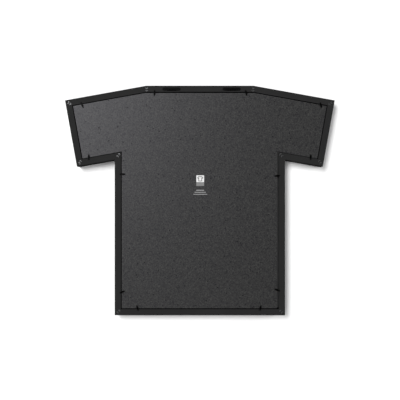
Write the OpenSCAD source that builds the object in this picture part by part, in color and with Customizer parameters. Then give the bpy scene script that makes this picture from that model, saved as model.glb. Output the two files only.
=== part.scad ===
// Jersey display frame: ten mitred rails in the outline of a T-shirt, a clear pane,
// an insert board for the jersey, and a back panel held by turn buttons.
// X is across the frame, Z is up and the jersey is seen from -Y, so left is at -X.
// The rails' back plane is at Y = 0, and the origin is the middle of the neck rail's
// back face, level with the nail heads or wall screws that the hangers hang from.

/* [Outline] */
// Width across the sleeves
overall_w = 610; // [590:1:630]
// Height from the top of the neck rail to the bottom of the hem
overall_h = 519; // [490:1:550]
// Width of the body below the sleeves
body_w = 385; // [375:1:395]
// Length of the neck rail
neck_w = 242; // [236:1:250]
// Slope of the shoulders and underarms, in degrees
sleeve_angle = 10.2; // [9:0.1:12]
// Width of a sleeve along its cuff
cuff_w = 152; // [145:1:165]

/* [Rails] */
// Width of a rail from the front
rail_w = 20; // [20:0.5:24]
// Depth of a rail from back to front
rail_depth = 24; // [22:0.5:30]
// Width of a rail's back face, from its outer edge to the rebate
back_face_w = 14; // [13.5:0.1:14.5]
// Radius on the front edges
front_radius = 1.5; // [0.5:0.1:2]
// Chamfer on the outer back edge
back_chamfer = 0.5; // [0.2:0.1:0.8]

/* [Pane and boards] */
// Thickness of the clear pane
pane_t = 2; // [1.5:0.1:2]
// Thickness of the front lip that the pane rests on
lip_t = 3; // [2:0.1:3.5]
// Thickness of the back panel
panel_t = 3; // [2.5:0.1:3]
// How far the back panel lies below the rails' back faces
panel_recess = 0.1; // [0:0.05:0.3]
// Gap around the back panel, along the shoulders, cuffs, hem and right side
panel_gap = 1.8; // [1:0.1:2.4]
// Gap between the back panel and the neck rail
panel_neck_gap = 2.4; // [1:0.1:3]
// Gap between the back panel and the underarm rails
panel_underarm_gap = 1.4; // [0.3:0.1:2]
// Gap beside the back panel's left long edge
panel_side_gap = 4.1; // [2:0.1:5.6]
// Thickness of the insert board
insert_t = 5; // [3:0.1:5]
// Gap between the insert board and the rebate's wall
insert_gap = 3.4; // [2.6:0.1:4]
// Gap between the insert board and the left side and underarm rails, where it fills the rebate
insert_close_gap = 0.5; // [0.3:0.1:2]

/* [Turn buttons] */
// Distance from a button's pivot to its tip
button_reach = 11.6; // [10:0.1:12]
// Width of a button across its shoulders
button_w = 4.4; // [3.6:0.1:5]
// Radius of a button's tail, around its pivot
button_tail_r = 1.3; // [1.2:0.05:1.6]
// Radius of a button's tip
button_tip_r = 1.1; // [0.5:0.05:1.2]
// Thickness of a button
button_t = 1; // [0.8:0.1:1.2]

/* [Hangers] */
// Length of a sawtooth hanger
hanger_l = 40.4; // [36:0.2:44]
// Height of a sawtooth hanger
hanger_h = 6.8; // [6:0.1:7]
// Place of the right hanger across the frame
hanger_right_x = 64; // [58:0.5:70]
// Place of the left hanger across the frame
hanger_left_x = -72; // [-74:0.5:-60]

/* [Hidden] */
// Corners of the outline, counter-clockwise in X and Z, and the rail that leaves each
top_z = back_face_w / 2;
slope = tan(sleeve_angle);
cuff_top = [overall_w / 2, top_z - (overall_w - neck_w) / 2 * slope];
cuff_bottom = cuff_top - cuff_w * [sin(sleeve_angle), cos(sleeve_angle)];
armpit = [body_w / 2, cuff_bottom.y + (cuff_bottom.x - body_w / 2) * slope];
right_side = [
    [body_w / 2, top_z - overall_h],
    armpit,
    cuff_bottom,
    cuff_top,
    [neck_w / 2, top_z]
];
outline = concat(
    [for (i = [4:-1:0]) [-right_side[i].x, right_side[i].y]],
    right_side
);
sides = len(outline);
NECK = 9;
RAIL_NAMES = [
    "rail_shoulder_left", "rail_cuff_left", "rail_underarm_left", "rail_side_left",
    "rail_hem",
    "rail_side_right", "rail_underarm_right", "rail_cuff_right", "rail_shoulder_right",
    "rail_neck"
];

// Each turn button: its name, its rail, its pivot's distance along the rail and in
// from the rail's outer edge, and how far it leans towards the rail's far end
BUTTONS = [
    ["turn_button_neck_right", 9, 19, 11.4, -6],
    ["turn_button_neck_left", 9, 224.5, 11.4, 13],
    ["turn_button_shoulder_left", 0, 155.5, 11.8, 24],
    ["turn_button_underarm_left", 2, 30.5, 10.8, 7],
    ["turn_button_side_left_upper", 3, 36, 12.6, 6],
    ["turn_button_side_left_lower", 3, 296, 12.6, -20],
    ["turn_button_hem_left", 4, 57, 11.9, -13],
    ["turn_button_hem_right", 4, 332, 11.9, 15],
    ["turn_button_side_right_lower", 5, 51, 12.6, 23],
    ["turn_button_side_right_upper", 5, 319, 12.6, 0],
    ["turn_button_underarm_right", 6, 57.4, 10.8, -10],
    ["turn_button_shoulder_right", 8, 35.5, 12.4, 12]
];
BUTTON_NAMES = [for (b = BUTTONS) b[0]];

// Moulding
groove_w = pane_t + 0.2;
groove_depth = 4;
groove_front = lip_t - rail_depth;
arc_steps = 4;
// Past a rail's ends, enough for the mitre at an inward corner
moulding_spare = rail_w + 5;
wedge_spare = 1;

// Boards: the back panel lies on the insert board in one deep rebate
pane_margin = rail_w - groove_depth + 0.2;
insert_back = -panel_recess - panel_t;
rebate_depth = panel_recess + panel_t + insert_t;
// The boards' gaps at each rail, in the rails' order
PANEL_GAPS = [
    panel_gap, panel_gap, panel_underarm_gap, panel_side_gap,
    panel_gap,
    panel_gap, panel_underarm_gap, panel_gap, panel_gap,
    panel_neck_gap
];
INSERT_GAPS = [
    insert_gap, insert_gap, insert_close_gap, insert_close_gap,
    insert_gap,
    insert_gap, insert_close_gap, insert_gap, insert_gap,
    insert_gap
];

// Turn buttons and their pins
pin_r = 0.7;
pin_hole_clearance = 0.02;
button_bore_r = pin_r + 0.05;
button_lift = 0.25;
pin_l = 9;
pin_head_r = 1.2;
pin_head_h = 0.6;
pin_head_gap = 0.05;
pin_head_y = button_lift + button_t + pin_head_gap;
shoulder_place = 0.55;

// Hangers, with teeth along the lower edge over a pocket for the screw head
hanger_t = 0.8;
hanger_sunk = 0.2;
hanger_z = -0.9;
seat_clearance = 0.3;
notch_l = 22;
notch_h = 2.6;
tooth_count = 11;
tooth_h = 0.8;
pocket_h = 5.4;
pocket_depth = 6;
hanger_nail_r = 0.8;
hanger_nail_l = 9;
hanger_nail_head_r = 1.5;
hanger_nail_head_h = 0.5;
hanger_nail_x = hanger_l / 2 - 3.4;
nail_clearance = 0.02;

// V-nails across each mitre
v_half_w = 2.8;
v_rise = 2.6;
v_strip = 0.6;
v_depth = 10;
v_spacing = 5.6;
v_place = 0.6;

rail_colour = [0.17, 0.17, 0.175];
metal_colour = [0.09, 0.09, 0.095];
$fn = 48;

function unit(v) = v / norm(v);
function heading(i) = unit(outline[(i + 1) % sides] - outline[i]);
function inward(i) = [-heading(i).y, heading(i).x];
function rail_length(i) = norm(outline[(i + 1) % sides] - outline[i]);
// The corner where the rail before it is moved in by a and the rail after it by b
function inset_corner(i, a, b) =
    let (n = inward((i + sides - 1) % sides), m = inward(i), c = n * m)
    outline[i] + ((a - b * c) * n + (b - a * c) * m) / (1 - c * c);
function inset_outline(insets) = [
    for (i = [0:sides - 1])
        inset_corner(i, insets[(i + sides - 1) % sides], insets[i])
];
function even_insets(u) = [for (i = [0:sides - 1]) u];
function rebate_insets(gaps) = [for (gap = gaps) back_face_w + gap];
function rounded_corner(centre, r, from) = [
    for (k = [0:arc_steps])
        centre + r * [cos(from - 90 * k / arc_steps), sin(from - 90 * k / arc_steps)]
];
// A rail's section, as distance in from the outer edge and height over the back plane
function moulding() = concat(
    [
        [0, -back_chamfer],
        [back_chamfer, 0],
        [back_face_w, 0],
        [back_face_w, -rebate_depth],
        [rail_w, -rebate_depth],
        [rail_w, groove_front + groove_w],
        [rail_w - groove_depth, groove_front + groove_w],
        [rail_w - groove_depth, groove_front],
        [rail_w, groove_front]
    ],
    rounded_corner([rail_w - front_radius, front_radius - rail_depth], front_radius, 0),
    rounded_corner([front_radius, front_radius - rail_depth], front_radius, -90)
);

// A plate of a flat shape drawn in X and Z, from y_back towards the front
module slab(y_back, thickness) {
    translate([0, y_back, 0])
        rotate([90, 0, 0])
            linear_extrude(thickness)
                children();
}

// A round bar along Y, from y_back towards the front
module bar(r, y_back, length) {
    translate([0, y_back, 0])
        rotate([90, 0, 0])
            cylinder(r = r, h = length);
}

// Places a piece at a distance along a rail and in from its outer edge, with X along
// the rail and Z pointing in
module on_rail(i, along, in) {
    place = outline[i] + along * heading(i) + in * inward(i);
    translate([place.x, 0, place.y])
        rotate([0, -atan2(heading(i).y, heading(i).x), 0])
            children();
}

module at_buttons(i) {
    for (b = BUTTONS)
        if (b[1] == i)
            on_rail(i, b[2], b[3])
                children();
}

module at_hangers() {
    for (x = [hanger_left_x, hanger_right_x])
        translate([x, 0, hanger_z])
            children();
}

module at_hanger_nails() {
    at_hangers()
        for (side = [-1, 1])
            translate([side * hanger_nail_x, 0, 0])
                children();
}

// A bar with round ends, flat in X and Z
module stadium(length, height) {
    square([length - height, height], center = true);
    for (side = [-1, 1])
        translate([side * (length - height) / 2, 0])
            circle(height / 2);
}

// One V-nail pair on the mitre at corner i, with the points towards the inside
module v_nails(i) {
    mitre = inset_corner(i, back_face_w, back_face_w) - outline[i];
    direction = unit(mitre);
    strip = v_strip * norm([v_half_w, v_rise]) / v_half_w;
    for (k = [-0.5, 0.5]) {
        place = outline[i] + mitre * v_place + direction * k * v_spacing;
        translate([place.x, 0, place.y])
            rotate([0, 90 - atan2(direction.y, direction.x), 0])
                slab(0, v_depth)
                    polygon([
                        [-v_half_w, -v_rise / 2],
                        [0, v_rise / 2],
                        [v_half_w, -v_rise / 2],
                        [v_half_w, strip - v_rise / 2],
                        [0, strip + v_rise / 2],
                        [-v_half_w, strip - v_rise / 2]
                    ]);
    }
}

// The moulding along rail i, past both of its ends
module moulding_length(i) {
    on_rail(i, rail_length(i) + moulding_spare, 0)
        rotate([0, -90, 0])
            linear_extrude(rail_length(i) + 2 * moulding_spare)
                polygon(moulding());
}

// Everything between the mitre planes at the two ends of rail i
module between_mitres(i) {
    next = (i + 1) % sides;
    slab(wedge_spare, rail_depth + 2 * wedge_spare)
        polygon([
            inset_corner(i, -wedge_spare, -wedge_spare),
            inset_corner(next, -wedge_spare, -wedge_spare),
            inset_corner(next, rail_w + wedge_spare, rail_w + wedge_spare),
            inset_corner(i, rail_w + wedge_spare, rail_w + wedge_spare)
        ]);
}

// Seats, pockets and nail holes in the back of the neck rail
module hanger_cuts() {
    at_hangers() {
        slab(wedge_spare, hanger_sunk + hanger_t + wedge_spare)
            stadium(hanger_l + 2 * seat_clearance, hanger_h + 2 * seat_clearance);
        translate([0, 0, (pocket_h - hanger_h) / 2])
            slab(0, pocket_depth)
                square([notch_l, pocket_h], center = true);
    }
    at_hanger_nails()
        bar(hanger_nail_r + nail_clearance, 0, hanger_nail_l);
}

module rail(i) {
    color(rail_colour)
        difference() {
            intersection() {
                moulding_length(i);
                between_mitres(i);
            }
            v_nails(i);
            v_nails((i + 1) % sides);
            at_buttons(i)
                bar(pin_r + pin_hole_clearance, wedge_spare, pin_l + wedge_spare);
            if (i == NECK)
                hanger_cuts();
        }
}

module clear_pane() {
    color([0.85, 0.9, 0.92, 0.35])
        slab(groove_front + pane_t, pane_t)
            polygon(inset_outline(even_insets(pane_margin)));
}

module insert_board() {
    color([0.93, 0.92, 0.89])
        slab(insert_back, insert_t)
            polygon(inset_outline(rebate_insets(INSERT_GAPS)));
}

module back_panel() {
    color([0.27, 0.27, 0.275])
        slab(-panel_recess, panel_t)
            polygon(inset_outline(rebate_insets(PANEL_GAPS)));
}

module corner_v_nails() {
    color([0.62, 0.63, 0.64])
        for (i = [0:sides - 1])
            v_nails(i);
}

// A strip with round ends and a toothed notch in its lower edge
module hanger(x) {
    tooth_w = notch_l / tooth_count;
    edge_z = notch_h - hanger_h / 2;
    color(metal_colour)
        translate([x, 0, hanger_z])
            difference() {
                slab(-hanger_sunk, hanger_t)
                    stadium(hanger_l, hanger_h);
                slab(0, hanger_sunk + hanger_t + wedge_spare)
                    polygon(concat(
                        [[notch_l / 2, -hanger_h], [-notch_l / 2, -hanger_h]],
                        [
                            for (k = [0:2 * tooth_count])
                                [
                                    k * tooth_w / 2 - notch_l / 2,
                                    edge_z - (k % 2) * tooth_h
                                ]
                        ]
                    ));
                for (side = [-1, 1])
                    translate([side * hanger_nail_x, 0, 0])
                        bar(hanger_nail_r + nail_clearance, 0, hanger_sunk + 2 * hanger_t);
            }
}

module hanger_nails() {
    color(metal_colour)
        at_hanger_nails() {
            bar(hanger_nail_r, -hanger_sunk, hanger_nail_l - hanger_sunk);
            bar(hanger_nail_head_r, hanger_nail_head_h - hanger_sunk, hanger_nail_head_h);
        }
}

// A shank in the rail with a low domed head over the button
module button_pin() {
    dome_r = (pin_head_r * pin_head_r + pin_head_h * pin_head_h) / (2 * pin_head_h);
    bar(pin_r, pin_head_y + pin_head_h / 2, pin_head_y + pin_head_h / 2 + pin_l);
    translate([0, pin_head_y, 0])
        rotate([-90, 0, 0])
            intersection() {
                cylinder(r = pin_head_r, h = pin_head_h);
                translate([0, 0, pin_head_h - dome_r])
                    sphere(dome_r);
            }
}

module button_pins() {
    color(metal_colour)
        for (i = [0:sides - 1])
            at_buttons(i)
                button_pin();
}

// A flat kite: a round tail on its pivot, widening to shoulders, and a blunt point
module turn_button(b) {
    tip = button_reach - button_tip_r;
    half = [
        [button_tail_r, 0],
        [button_w / 2, shoulder_place * button_reach],
        [button_tip_r, tip]
    ];
    color(metal_colour)
        on_rail(b[1], b[2], b[3])
            rotate([0, b[4], 0])
                difference() {
                    slab(button_lift + button_t, button_t)
                        union() {
                            circle(button_tail_r);
                            translate([0, tip])
                                circle(button_tip_r);
                            polygon(concat(
                                half,
                                [for (i = [2:-1:0]) [-half[i].x, half[i].y]]
                            ));
                        }
                    bar(button_bore_r, 2 * button_t, 2 * button_t);
                }
}

for (i = [0:sides - 1])
    rail(i);
clear_pane();
insert_board();
back_panel();
corner_v_nails();
hanger(hanger_left_x);  // hanger_left
hanger(hanger_right_x);  // hanger_right
hanger_nails();
button_pins();
for (b = BUTTONS)
    turn_button(b);
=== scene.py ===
import math

import bmesh
import bpy
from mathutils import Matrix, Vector


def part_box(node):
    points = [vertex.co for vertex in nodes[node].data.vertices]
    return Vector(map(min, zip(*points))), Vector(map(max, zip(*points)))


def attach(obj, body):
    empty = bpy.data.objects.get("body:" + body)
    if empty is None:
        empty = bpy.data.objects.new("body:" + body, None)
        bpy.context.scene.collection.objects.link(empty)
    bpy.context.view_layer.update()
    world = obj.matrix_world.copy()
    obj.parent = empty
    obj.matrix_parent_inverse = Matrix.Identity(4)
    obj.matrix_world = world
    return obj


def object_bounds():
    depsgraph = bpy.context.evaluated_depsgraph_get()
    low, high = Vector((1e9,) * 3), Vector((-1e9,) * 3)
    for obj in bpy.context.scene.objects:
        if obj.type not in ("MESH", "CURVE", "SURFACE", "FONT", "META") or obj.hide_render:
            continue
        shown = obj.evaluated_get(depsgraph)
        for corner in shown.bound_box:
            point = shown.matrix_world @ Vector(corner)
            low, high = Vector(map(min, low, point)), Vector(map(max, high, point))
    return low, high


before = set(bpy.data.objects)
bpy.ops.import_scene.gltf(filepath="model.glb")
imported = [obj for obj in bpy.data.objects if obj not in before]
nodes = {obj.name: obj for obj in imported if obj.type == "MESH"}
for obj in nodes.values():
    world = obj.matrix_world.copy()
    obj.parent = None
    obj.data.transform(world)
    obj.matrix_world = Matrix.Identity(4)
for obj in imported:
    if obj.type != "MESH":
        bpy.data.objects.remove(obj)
cad_low, cad_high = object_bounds()
middle = (cad_low + cad_high) / 2
scene = bpy.context.scene
MM = 0.001
FRAME_BODY = "frame"
# Places of the colour sockets on a Mix node
MIX_FIRST, MIX_SECOND, MIX_RESULT = 6, 7, 2
TURN_BUTTONS = sorted(name for name in nodes if name.startswith("turn_button_"))


# ---------------------------------------------------------------- materials

def new_material(name):
    """A material with a Principled shader, and its node tree."""
    material = bpy.data.materials.new(name)
    material.use_nodes = True
    return material, material.node_tree


def add(tree, kind, inputs=(), **settings):
    """A new node. An input is either a plain value or another node's output, which is linked."""
    made = tree.nodes.new("ShaderNode" + kind)
    for key, value in settings.items():
        setattr(made, key, value)
    for key, value in dict(inputs).items():
        if isinstance(value, bpy.types.NodeSocket):
            tree.links.new(value, made.inputs[key])
        else:
            made.inputs[key].default_value = value
    return made


def place(tree, stretch=(1, 1, 1)):
    """Points in the row frame, in metres, scaled by stretch."""
    where = add(tree, "TexCoord").outputs["Object"]
    return add(tree, "Mapping", {"Vector": where, "Scale": stretch}).outputs["Vector"]


def noise(tree, at, grain, detail=2.0, roughness=0.5):
    """Noise whose largest grains are about grain metres wide."""
    inputs = {"Vector": at, "Scale": 1 / grain, "Detail": detail, "Roughness": roughness}
    return add(tree, "TexNoise", inputs).outputs["Fac"]


def cells(tree, at, spacing):
    """Random cells about spacing metres apart, as a node with Color and Distance outputs."""
    return add(tree, "TexVoronoi", {"Vector": at, "Scale": 1 / spacing, "Randomness": 1.0})


def ramp(tree, factor, stops):
    """A colour ramp through (position, grey or colour) stops."""
    made = add(tree, "ValToRGB", {"Fac": factor})
    points = made.color_ramp.elements
    while len(points) < len(stops):
        points.new(0.5)
    for point, (position, colour) in zip(points, stops):
        point.position = position
        point.color = (*colour, 1) if isinstance(colour, tuple) else (colour, colour, colour, 1)
    return made.outputs["Color"]


def multiply(tree, first, second):
    """The product of two colours."""
    made = add(tree, "Mix", data_type="RGBA", blend_type="MULTIPLY")
    made.inputs["Factor"].default_value = 1
    tree.links.new(first, made.inputs[MIX_FIRST])
    tree.links.new(second, made.inputs[MIX_SECOND])
    return made.outputs[MIX_RESULT]


def bump(tree, height, depth, under=None):
    """A normal raised by height, depth metres tall, on top of the normal under."""
    inputs = {"Height": height, "Distance": depth, "Strength": 1.0}
    if under:
        inputs["Normal"] = under
    return add(tree, "Bump", inputs).outputs["Normal"]


def finish_shader(tree, values):
    """Sets the Principled shader's sockets: plain values are set, outputs are linked."""
    shader = tree.nodes["Principled BSDF"]
    for key, value in values.items():
        if isinstance(value, bpy.types.NodeSocket):
            tree.links.new(value, shader.inputs[key])
        else:
            shader.inputs[key].default_value = value
    return shader


def facing(tree, direction):
    """How much a surface faces direction in the row frame, from -1 to 1."""
    made = add(tree, "VectorMath", operation="DOT_PRODUCT")
    tree.links.new(add(tree, "TexCoord").outputs["Normal"], made.inputs[0])
    made.inputs[1].default_value = direction
    return made.outputs["Value"]


def above(tree, value, limit):
    """One where value is more than limit, else zero."""
    return add(tree, "Math", {0: value, 1: limit}, operation="GREATER_THAN").outputs["Value"]


def rail_foil(name, inward):
    """Black foil wrapped round fibreboard.

    Painted shade: the rebate walls, which face inward, and the sunk floors of the hanger pockets are
    darkened to an eighth of the foil's tone, so the gaps round the panel and the pockets read black."""
    material, tree = new_material(name)
    at = place(tree)
    depth = add(tree, "SeparateXYZ", {"Vector": at}).outputs["Y"]
    sunk = add(tree, "Math", {0: depth, 1: -0.4 * MM}, operation="LESS_THAN").outputs["Value"]
    floor = add(tree, "Math", {0: sunk, 1: above(tree, facing(tree, (0, 1, 0)), 0.5)}, operation="MULTIPLY")
    wall = above(tree, facing(tree, inward), 0.5)
    shaded_recess = add(tree, "Math", {0: floor.outputs["Value"], 1: wall}, operation="MAXIMUM")
    # Painted shade: where this mask is one, in the rebate and on the pocket floors, the tone drops to 0.12
    recess_shade = ramp(tree, shaded_recess.outputs["Value"], [(0, 1.0), (1, 0.12)])
    patches = noise(tree, at, 60 * MM, 3)
    grain = noise(tree, at, 0.9 * MM, 3, 0.6)
    tone = ramp(tree, patches, [(0.35, 0.0174), (0.65, 0.0192)])
    speck = ramp(tree, grain, [(0.3, 0.85), (0.7, 1.12)])
    rough = ramp(tree, noise(tree, at, 18 * MM), [(0.3, 0.5), (0.7, 0.58)])
    finish_shader(tree, {
        "Base Color": multiply(tree, multiply(tree, tone, speck), recess_shade),
        "Roughness": rough,
        "Specular IOR Level": 0.0,
        "Normal": bump(tree, grain, 0.05 * MM),
    })
    return material


def panel_hardboard():
    """Dark textured hardboard: fine pebbling, ragged darker and paler flakes, and sparse pits."""
    material, tree = new_material("panel_hardboard")
    at = place(tree)
    mottle = noise(tree, at, 9 * MM, 2, 0.7)
    pebble = noise(tree, at, 1.1 * MM, 2, 0.6)
    wander = add(tree, "TexNoise", {"Vector": at, "Scale": 1 / (3 * MM), "Detail": 2.0})
    shift = {0: wander.outputs["Color"], 1: (2 * MM, 2 * MM, 2 * MM), 2: at}
    ragged = add(tree, "VectorMath", shift, operation="MULTIPLY_ADD").outputs["Vector"]
    flakes = cells(tree, ragged, 1.9 * MM).outputs["Color"]
    speckle = ramp(tree, flakes, [(0.24, 0.06), (0.38, 0.85), (0.6, 1.0), (0.82, 2.1)])
    pits = cells(tree, ragged, 12 * MM).outputs["Distance"]
    pitted = ramp(tree, pits, [(0.10, 0.1), (0.16, 1.0)])
    dull_pits = ramp(tree, pits, [(0.10, 0.9), (0.16, 0.0)])
    dark, pale = (0.0115, 0.0115, 0.0104), (0.0132, 0.0132, 0.0120)
    tone = ramp(tree, mottle, [(0.3, dark), (0.7, pale)])
    rough = ramp(tree, pebble, [(0.3, 0.50), (0.7, 0.56)])
    dull = add(tree, "Math", {0: rough, 1: dull_pits}, operation="MAXIMUM").outputs["Value"]
    finish_shader(tree, {
        "Base Color": multiply(tree, multiply(tree, tone, speckle), pitted),
        "Roughness": dull,
        "Specular IOR Level": 0.40,
        "Specular Tint": (0.94, 0.93, 1.0, 1),
        "Normal": bump(tree, pitted, 0.10 * MM, bump(tree, pebble, 0.08 * MM)),
    })
    return material


def clear_acrylic():
    """Clear sheet that lets lamps through, with a faint green-grey edge."""
    material, tree = new_material("clear_acrylic")
    at = place(tree)
    smear = ramp(tree, noise(tree, at, 90 * MM, 3), [(0.4, 0.015), (0.7, 0.035)])
    shader = finish_shader(tree, {
        "Base Color": (0.97, 0.985, 0.98, 1),
        "Roughness": smear,
        "IOR": 1.49,
        "Transmission Weight": 1.0,
    })
    through = add(tree, "BsdfTransparent", {"Color": (0.93, 0.95, 0.945, 1)})
    lamp_ray = add(tree, "LightPath").outputs["Is Shadow Ray"]
    mixed = add(tree, "MixShader", {"Fac": lamp_ray})
    tree.links.new(shader.outputs["BSDF"], mixed.inputs[1])
    tree.links.new(through.outputs["BSDF"], mixed.inputs[2])
    tree.links.new(mixed.outputs["Shader"], tree.nodes["Material Output"].inputs["Surface"])
    return material


def foam_board(front_side):
    """Foam board, black at its back and edges, with an off-white paper face towards front_side."""
    material, tree = new_material("foam_board")
    at = place(tree)
    tooth = noise(tree, at, 0.8 * MM, 4, 0.65)
    dark, pale = (0.70, 0.69, 0.655), (0.76, 0.75, 0.715)
    cloud = ramp(tree, noise(tree, at, 45 * MM, 3), [(0.35, dark), (0.65, pale)])
    fibre = ramp(tree, noise(tree, place(tree, (1, 1, 0.2)), 1.2 * MM, 2), [(0.3, 0.95), (0.6, 1.0)])
    sides = add(tree, "Mix", data_type="RGBA")
    tree.links.new(above(tree, facing(tree, front_side), 0.7), sides.inputs["Factor"])
    tree.links.new(ramp(tree, tooth, [(0.3, 0.033), (0.7, 0.040)]), sides.inputs[MIX_FIRST])
    tree.links.new(multiply(tree, cloud, fibre), sides.inputs[MIX_SECOND])
    finish_shader(tree, {
        "Base Color": sides.outputs[MIX_RESULT],
        "Roughness": ramp(tree, tooth, [(0.3, 0.82), (0.7, 0.95)]),
        "Specular IOR Level": 0.1,
        "Normal": bump(tree, tooth, 0.06 * MM),
    })
    return material


def strip_steel():
    """Bright strip steel with drawn lines down its length."""
    material, tree = new_material("strip_steel")
    lines = noise(tree, place(tree, (1, 0.05, 1)), 0.25 * MM, 2)
    blotch = noise(tree, place(tree), 2.5 * MM, 2)
    dark, pale = (0.115, 0.117, 0.12), (0.21, 0.213, 0.217)
    finish_shader(tree, {
        "Base Color": ramp(tree, blotch, [(0.3, dark), (0.7, pale)]),
        "Metallic": 1.0,
        "Roughness": ramp(tree, lines, [(0.3, 0.38), (0.7, 0.55)]),
        "Normal": bump(tree, lines, 0.02 * MM),
    })
    return material


def black_metal(name, grey, rough):
    """Blackened steel: a thin paint with fine orange peel and duller worn spots."""
    material, tree = new_material(name)
    at = place(tree)
    peel = noise(tree, at, 0.5 * MM, 2)
    worn = noise(tree, at, 3 * MM, 3, 0.6)
    finish_shader(tree, {
        "Base Color": ramp(tree, worn, [(0.4, grey), (0.75, 1.8 * grey)]),
        "Roughness": ramp(tree, worn, [(0.3, rough), (0.7, rough + 0.08)]),
        "Specular IOR Level": 0.025,
        "Normal": bump(tree, peel, 0.02 * MM),
    })
    return material


def printed_ink(name, grey):
    """Matt screen-printed ink, a little thin where the board's texture shows through."""
    material, tree = new_material(name)
    at = place(tree)
    thin = noise(tree, at, 1.0 * MM, 3, 0.6)
    finish_shader(tree, {
        "Base Color": ramp(tree, thin, [(0.25, 0.72 * grey), (0.45, grey)]),
        "Roughness": ramp(tree, thin, [(0.3, 0.6), (0.7, 0.75)]),
        "Specular IOR Level": 0.3,
        "Normal": bump(tree, thin, 0.03 * MM),
    })
    return material


def dress(name, material, edge=0.0):
    """Gives a CAD node its material and, with edge, edges rounded by that many metres."""
    piece = nodes[name]
    piece.data.materials.clear()
    piece.data.materials.append(material)
    if edge:
        weld = piece.modifiers.new("weld", "WELD")
        weld.merge_threshold = 0.01 * MM
        soft = piece.modifiers.new("soft_edges", "BEVEL")
        soft.width = edge
        soft.segments = 2
        soft.limit_method = "ANGLE"
        soft.angle_limit = math.radians(35)
        soft.use_clamp_overlap = True


# ---------------------------------------------------------------- printed mark

def flat_piece(name, outlines, y_back, material):
    """One mesh of flat shapes in X and Z, each a list of corners, as a layer of ink on y_back.

    Shapes that share a whole edge become one solid."""
    mesh = bpy.data.meshes.new(name)
    work = bmesh.new()
    for corners in outlines:
        work.faces.new([work.verts.new((x, y_back, z)) for x, z in corners])
    bmesh.ops.remove_doubles(work, verts=work.verts[:], dist=0.001 * MM)
    raised = bmesh.ops.extrude_face_region(work, geom=work.faces[:])["geom"]
    lifted = [v for v in raised if isinstance(v, bmesh.types.BMVert)]
    bmesh.ops.translate(work, verts=lifted, vec=(0, INK, 0))
    bmesh.ops.recalc_face_normals(work, faces=work.faces[:])
    work.to_mesh(mesh)
    work.free()
    mesh.materials.append(material)
    piece = bpy.data.objects.new(name, mesh)
    scene.collection.objects.link(piece)
    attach(piece, FRAME_BODY)


def bar(x, z, width, height):
    """The corners of an upright rectangle about (x, z)."""
    w, h = width / 2, height / 2
    return [(x - w, z - h), (x + w, z - h), (x + w, z + h), (x - w, z + h)]


def rounded_bar(x, z, width, height, radius, steps=5):
    """The corners of an upright rectangle about (x, z) with round corners."""
    w, h = width / 2 - radius, height / 2 - radius
    corners = []
    for turn, (sx, sz) in enumerate([(1, 1), (-1, 1), (-1, -1), (1, -1)]):
        for step in range(steps + 1):
            angle = math.radians(90 * (turn + step / steps))
            corners.append((x + sx * w + radius * math.cos(angle), z + sz * h + radius * math.sin(angle)))
    return corners


def stroke(path, width):
    """Quads that follow a closed path with a line of the given width, joined at mitred corners."""
    count = len(path)
    inner, outer = [], []
    for here in range(count):
        before, point, after = Vector(path[here - 1]), Vector(path[here]), Vector(path[(here + 1) % count])
        side_in = (point - before).normalized().orthogonal()
        side_out = (after - point).normalized().orthogonal()
        mitre = (side_in + side_out).normalized()
        reach = width / 2 / mitre.dot(side_in)
        inner.append(tuple(point - mitre * reach))
        outer.append(tuple(point + mitre * reach))
    return [[inner[i - 1], inner[i], outer[i], outer[i - 1]] for i in range(count)]


# ---------------------------------------------------------------- dress the CAD nodes

# Each foil's name, the direction from its rails to the panel within about ten degrees, and its rails
FOILS = [
    ("rail_foil_top", (0, 0, -1), ["neck", "shoulder_left", "shoulder_right"]),
    ("rail_foil_bottom", (0, 0, 1), ["underarm_left", "underarm_right", "hem"]),
    ("rail_foil_left", (1, 0, 0), ["cuff_left", "side_left"]),
    ("rail_foil_right", (-1, 0, 0), ["cuff_right", "side_right"]),
]
for name, inward, rails in FOILS:
    foil = rail_foil(name, inward)
    for rail in rails:
        dress("rail_" + rail, foil, edge=0.25 * MM)
dress("back_panel", panel_hardboard(), edge=0.35 * MM)
dress("clear_pane", clear_acrylic(), edge=0.15 * MM)
dress("insert_board", foam_board((0, -1, 0)), edge=0.2 * MM)
dress("corner_v_nails", strip_steel())
hanger_black = black_metal("hanger_black", grey=0.0026, rough=0.33)
for hanger in ("hanger_left", "hanger_right"):
    dress(hanger, hanger_black, edge=0.12 * MM)
dress("hanger_nails", black_metal("nail_black", grey=0.0035, rough=0.33), edge=0.12 * MM)
dress("button_pins", black_metal("pin_black", grey=0.0015, rough=0.3), edge=0.08 * MM)
button_black = black_metal("button_black", grey=0.0012, rough=0.33)
for button in TURN_BUTTONS:
    dress(button, button_black, edge=0.15 * MM)

# ---------------------------------------------------------------- stage, light and camera

# Distance from the camera to the back faces, and the width seen there
CAMERA_DISTANCE = 1.0
FIELD = 0.9038
SENSOR = 36
AIM = Vector((-0.3 * MM, 0, middle.z + 1.1 * MM))
STAGE_SIZE = 8
STAGE_GREY = 0.9
BACKDROP_GAP = 0.5 * MM
FLOOR_DROP = 1.0
# Strength of the world as it lights the object, and as the camera sees it
AIR_LIGHT, AIR_SEEN = 0.02, 1.0


def one_sided(name, grey):
    """A plain pale surface that is seen and lit from its front only, so it never hides the object."""
    material, tree = new_material(name)
    shader = finish_shader(tree, {
        "Base Color": (grey, grey, grey, 1),
        "Roughness": 1.0,
        "Specular IOR Level": 0.0,
    })
    behind = add(tree, "NewGeometry").outputs["Backfacing"]
    clear = add(tree, "BsdfTransparent")
    mixed = add(tree, "MixShader", {"Fac": behind})
    tree.links.new(shader.outputs["BSDF"], mixed.inputs[1])
    tree.links.new(clear.outputs["BSDF"], mixed.inputs[2])
    tree.links.new(mixed.outputs["Shader"], tree.nodes["Material Output"].inputs["Surface"])
    return material


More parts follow.
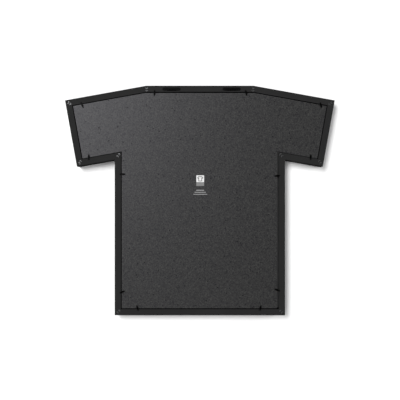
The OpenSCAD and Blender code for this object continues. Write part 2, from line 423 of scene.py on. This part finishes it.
def stage_plane(name, centre, normal, material):
    """A square of the stage that faces along normal."""
    bpy.ops.mesh.primitive_plane_add(size=STAGE_SIZE, location=centre)
    plane = bpy.context.object
    plane.name = name
    plane.rotation_mode = "QUATERNION"
    plane.rotation_quaternion = Vector(normal).to_track_quat("Z", "Y")
    plane.data.materials.append(material)
    return plane


def area_light(name, location, size, power, size_y=None):
    """A square or rectangular lamp that points at the middle of the frame."""
    data = bpy.data.lights.new(name, "AREA")
    data.energy = power
    data.size = size
    if size_y:
        data.shape = "RECTANGLE"
        data.size_y = size_y
    light = bpy.data.objects.new(name, data)
    light.location = location
    light.rotation_mode = "QUATERNION"
    light.rotation_quaternion = (middle - Vector(location)).to_track_quat("-Z", "Y")
    scene.collection.objects.link(light)
    return light


stage_white = one_sided("stage_white", STAGE_GREY)
backdrop = stage_plane("backdrop", (0, cad_low.y - BACKDROP_GAP, 0), (0, 1, 0), stage_white)
# The undersides of the rails, close to the backdrop, stay black instead of taking light from it
backdrop.visible_glossy = False
backdrop.visible_diffuse = False
# The backdrop is close behind the display side, and lets that side's own lamp through
backdrop.visible_shadow = False
stage_plane("floor", (0, 0, cad_low.z - FLOOR_DROP), (0, 0, 1), stage_white)

area_light("key", (1.65, 3.0, 1.15), size=1.7, power=180, size_y=2.4)
area_light("fill", (-2.2, 1.2, 0.2), size=1.0, power=24)
display_lamp = area_light("display_side", (-2.0, -1.7, 1.5), size=1.2, power=75)
display_pieces = bpy.data.collections.new("display_pieces")
for piece in nodes.values():
    display_pieces.objects.link(piece)
display_lamp.light_linking.receiver_collection = display_pieces

world = bpy.data.worlds.new("studio")
world.use_nodes = True
scene.world = world
air = world.node_tree
dim = add(air, "Background", {"Color": (1, 1, 1, 1), "Strength": AIR_LIGHT})
white = add(air, "Background", {"Color": (1, 1, 1, 1), "Strength": AIR_SEEN})
seen = add(air, "LightPath").outputs["Is Camera Ray"]
sky = add(air, "MixShader", {"Fac": seen})
air.links.new(dim.outputs["Background"], sky.inputs[1])
air.links.new(white.outputs["Background"], sky.inputs[2])
air.links.new(sky.outputs["Shader"], air.nodes["World Output"].inputs["Surface"])
scene.view_settings.view_transform = "Standard"

camera_data = bpy.data.cameras.new("camera")
camera_data.lens = SENSOR * CAMERA_DISTANCE / FIELD
camera_data.sensor_width = SENSOR
camera = bpy.data.objects.new("camera", camera_data)
scene.collection.objects.link(camera)
camera.location = AIM + Vector((0, CAMERA_DISTANCE, 0))
camera.rotation_mode = "QUATERNION"
camera.rotation_quaternion = Vector((0, -1, 0)).to_track_quat("-Z", "Y")
scene.camera = camera

# ---------------------------------------------------------------- printed mark on the panel

MARK_X, MARK_Z = -0.8 * MM, -203.4 * MM
MARK_W, MARK_H = 17.6 * MM, 15.6 * MM
MARK_CORNER = 1.2 * MM
INK = 0.05 * MM
# A plain shirt inside the square, in millimetres: half its outline, from the collar to the hem
SHIRT_HALF = [(1.6, 4.9), (3.4, 4.9), (6.0, 2.4), (4.5, 0.7), (3.4, 1.6), (3.4, -5.0)]
SHIRT_LINE = 1.7 * MM
BAND_DROP, BAND_H = 12.4 * MM, 7.6 * MM
# Millimetres of each line: its distance under the square's middle, its width and its height
LINES = [(25.9, 17.6, 1.4), (30.5, 25.5, 1.2), (35.0, 31.0, 1.1)]
panel_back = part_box("back_panel")[1].y
ink_white = printed_ink("ink_white", 0.60)
ink_grey = printed_ink("ink_grey", 0.16)
ink_pale = printed_ink("ink_pale", 0.30)

right_half = [(MARK_X + x * MM, MARK_Z + z * MM) for x, z in SHIRT_HALF]
left_half = [(MARK_X - x * MM, MARK_Z + z * MM) for x, z in reversed(SHIRT_HALF)]
square = rounded_bar(MARK_X, MARK_Z, MARK_W, MARK_H, MARK_CORNER)
shirt = stroke(right_half + left_half, SHIRT_LINE)
band = bar(MARK_X, MARK_Z - BAND_DROP, MARK_W, BAND_H)
lines = [bar(MARK_X, MARK_Z - drop * MM, width * MM, height * MM) for drop, width, height in LINES]
flat_piece("mark_square", [square], panel_back, ink_white)
flat_piece("mark_shirt", shirt, panel_back + INK, ink_grey)
flat_piece("mark_band", [band], panel_back, ink_grey)
flat_piece("mark_lines", lines, panel_back, ink_pale)
